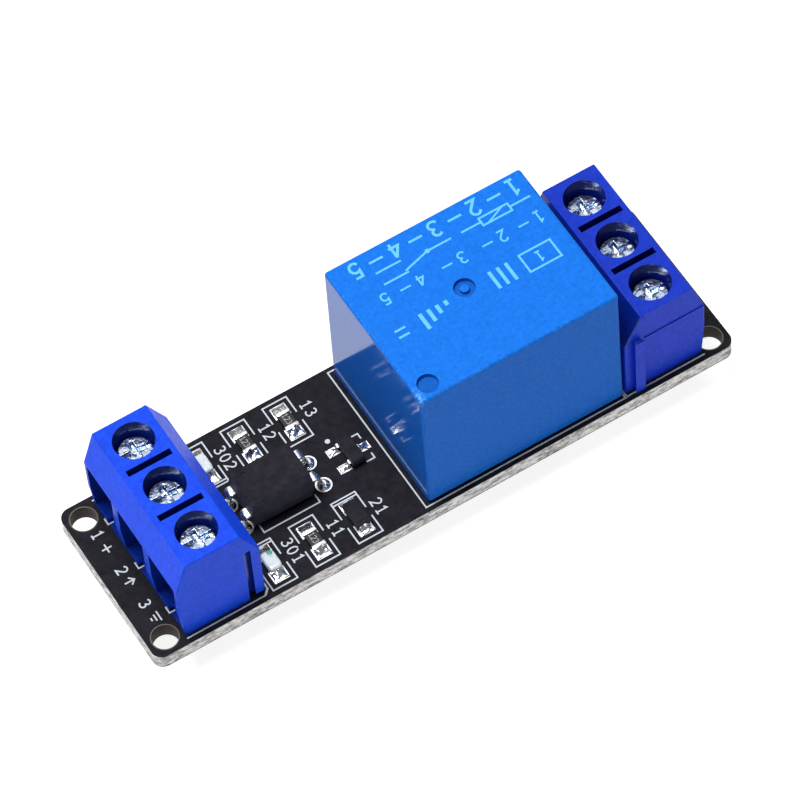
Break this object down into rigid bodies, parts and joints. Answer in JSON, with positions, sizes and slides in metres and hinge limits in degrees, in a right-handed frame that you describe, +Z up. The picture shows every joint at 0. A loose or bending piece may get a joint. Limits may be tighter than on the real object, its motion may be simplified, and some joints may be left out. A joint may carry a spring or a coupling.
{
  "type": "relay module board",
  "caption": "Narrow black circuit board with a screw terminal block at each end, a blue cube relay and the small parts that drive its coil.",
  "frame": {"origin": "under the middle of the board, level with the tips of its soldered leads", "axes": "+X along the board from the input terminals to the output terminals, +Y across the board towards its back edge, +Z up through the relay"},
  "size_m": [0.0564, 0.0168, 0.0198],
  "materials": {
    "laminate": "satin black mask over glass fibre laminate",
    "relay_blue": "glossy blue moulding",
    "terminal_blue": "glossy deep blue moulding",
    "black_moulding": "black moulding",
    "copper_wire": "lacquered copper wire",
    "plated_iron": "dull nickel plate",
    "spring_bronze": "bronze strip",
    "contact_silver": "silver",
    "tinned_brass": "tinned",
    "zinc_screw": "bright zinc",
    "nickel_clamp": "nickel plate",
    "ceramic_black": "black glass over ceramic",
    "ceramic_white": "white",
    "tin_ends": "bright tin",
    "lamp_clear": "milky clear",
    "epoxy_black": "fine grained",
    "tinned_pad": "levelled tin",
    "solder": "bright solder",
    "white_print": "white ink"
  },
  "bodies": {
    "board": {"circuit_board": "laminate", "diode_body": "epoxy_black", "diode_leads": "tin_ends", "input_bar_1": "tinned_brass", "input_bar_2": "tinned_brass", "input_bar_3": "tinned_brass", "input_housing": "terminal_blue", "lamp_power_carrier": "ceramic_white", "lamp_power_ends": "tin_ends", "lamp_power_lens": "lamp_clear", "lamp_signal_carrier": "ceramic_white", "lamp_signal_ends": "tin_ends", "lamp_signal_lens": "lamp_clear", "lead_solder": "solder", "optocoupler_body": "epoxy_black", "optocoupler_leads": "tin_ends", "output_bar_1": "tinned_brass", "output_bar_2": "tinned_brass", "output_bar_3": "tinned_brass", "output_housing": "terminal_blue", "printed_outlines": "white_print", "relay_base": "black_moulding", "relay_bobbin": "black_moulding", "relay_case": "relay_blue", "relay_closed_contact": "tinned_brass", "relay_coil_pins": "tinned_brass", "relay_common_pin": "tinned_brass", "relay_core": "plated_iron", "relay_fixed_buttons": "contact_silver", "relay_open_contact": "tinned_brass", "relay_winding": "copper_wire", "relay_yoke": "plated_iron", "resistor_base_body": "ceramic_black", "resistor_base_ends": "tin_ends", "resistor_coil_body": "ceramic_black", "resistor_coil_ends": "tin_ends", "resistor_signal_body": "ceramic_black", "resistor_signal_ends": "tin_ends", "surface_pads": "tinned_pad", "surface_solder": "solder", "transistor_body": "epoxy_black", "transistor_leads": "tin_ends"},
    "input_screw_1": {"input_screw_1": "zinc_screw"},
    "input_clamp_1": {"input_clamp_1": "nickel_clamp"},
    "input_screw_2": {"input_screw_2": "zinc_screw"},
    "input_clamp_2": {"input_clamp_2": "nickel_clamp"},
    "input_screw_3": {"input_screw_3": "zinc_screw"},
    "input_clamp_3": {"input_clamp_3": "nickel_clamp"},
    "output_screw_1": {"output_screw_1": "zinc_screw"},
    "output_clamp_1": {"output_clamp_1": "nickel_clamp"},
    "output_screw_2": {"output_screw_2": "zinc_screw"},
    "output_clamp_2": {"output_clamp_2": "nickel_clamp"},
    "output_screw_3": {"output_screw_3": "zinc_screw"},
    "output_clamp_3": {"output_clamp_3": "nickel_clamp"},
    "armature": {"relay_armature": "plated_iron", "relay_contact_leaf": "spring_bronze", "relay_moving_contact": "contact_silver"}
  },
  "joints": [
    {"name": "input_screw_1_turn", "type": "hinge", "parent": "board", "child": "input_screw_1", "pos_m": [-0.02165, -0.00508, 0.012], "axis": [0, 0, -1], "range_deg": [0, 1440]},
    {"name": "input_clamp_1_rise", "type": "slide", "parent": "board", "child": "input_clamp_1", "axis": [0, 0, 1], "range_m": [0, 0.0018]},
    {"name": "input_screw_2_turn", "type": "hinge", "parent": "board", "child": "input_screw_2", "pos_m": [-0.02165, 0, 0.012], "axis": [0, 0, -1], "range_deg": [0, 1440]},
    {"name": "input_clamp_2_rise", "type": "slide", "parent": "board", "child": "input_clamp_2", "axis": [0, 0, 1], "range_m": [0, 0.0018]},
    {"name": "input_screw_3_turn", "type": "hinge", "parent": "board", "child": "input_screw_3", "pos_m": [-0.02165, 0.00508, 0.012], "axis": [0, 0, -1], "range_deg": [0, 1440]},
    {"name": "input_clamp_3_rise", "type": "slide", "parent": "board", "child": "input_clamp_3", "axis": [0, 0, 1], "range_m": [0, 0.0018]},
    {"name": "output_screw_1_turn", "type": "hinge", "parent": "board", "child": "output_screw_1", "pos_m": [0.02195, -0.00508, 0.012], "axis": [0, 0, -1], "range_deg": [0, 1440]},
    {"name": "output_clamp_1_rise", "type": "slide", "parent": "board", "child": "output_clamp_1", "axis": [0, 0, 1], "range_m": [0, 0.0018]},
    {"name": "output_screw_2_turn", "type": "hinge", "parent": "board", "child": "output_screw_2", "pos_m": [0.02195, 0, 0.012], "axis": [0, 0, -1], "range_deg": [0, 1440]},
    {"name": "output_clamp_2_rise", "type": "slide", "parent": "board", "child": "output_clamp_2", "axis": [0, 0, 1], "range_m": [0, 0.0018]},
    {"name": "output_screw_3_turn", "type": "hinge", "parent": "board", "child": "output_screw_3", "pos_m": [0.02195, 0.00508, 0.012], "axis": [0, 0, -1], "range_deg": [0, 1440]},
    {"name": "output_clamp_3_rise", "type": "slide", "parent": "board", "child": "output_clamp_3", "axis": [0, 0, 1], "range_m": [0, 0.0018]},
    {"name": "armature_rock", "type": "hinge", "parent": "board", "child": "armature", "pos_m": [0.00075, 0, 0.01642], "axis": [0, 1, 0], "range_deg": [0, 2.6], "stiffness_Nm_per_rad": 0.02, "springref_deg": -2.86}
  ],
  "couplings": [
    {"joint": "input_screw_1_turn", "follows": "input_clamp_1_rise", "rad_per_m": 13963},
    {"joint": "input_screw_2_turn", "follows": "input_clamp_2_rise", "rad_per_m": 13963},
    {"joint": "input_screw_3_turn", "follows": "input_clamp_3_rise", "rad_per_m": 13963},
    {"joint": "output_screw_1_turn", "follows": "output_clamp_1_rise", "rad_per_m": 13963},
    {"joint": "output_screw_2_turn", "follows": "output_clamp_2_rise", "rad_per_m": 13963},
    {"joint": "output_screw_3_turn", "follows": "output_clamp_3_rise", "rad_per_m": 13963}
  ]
}
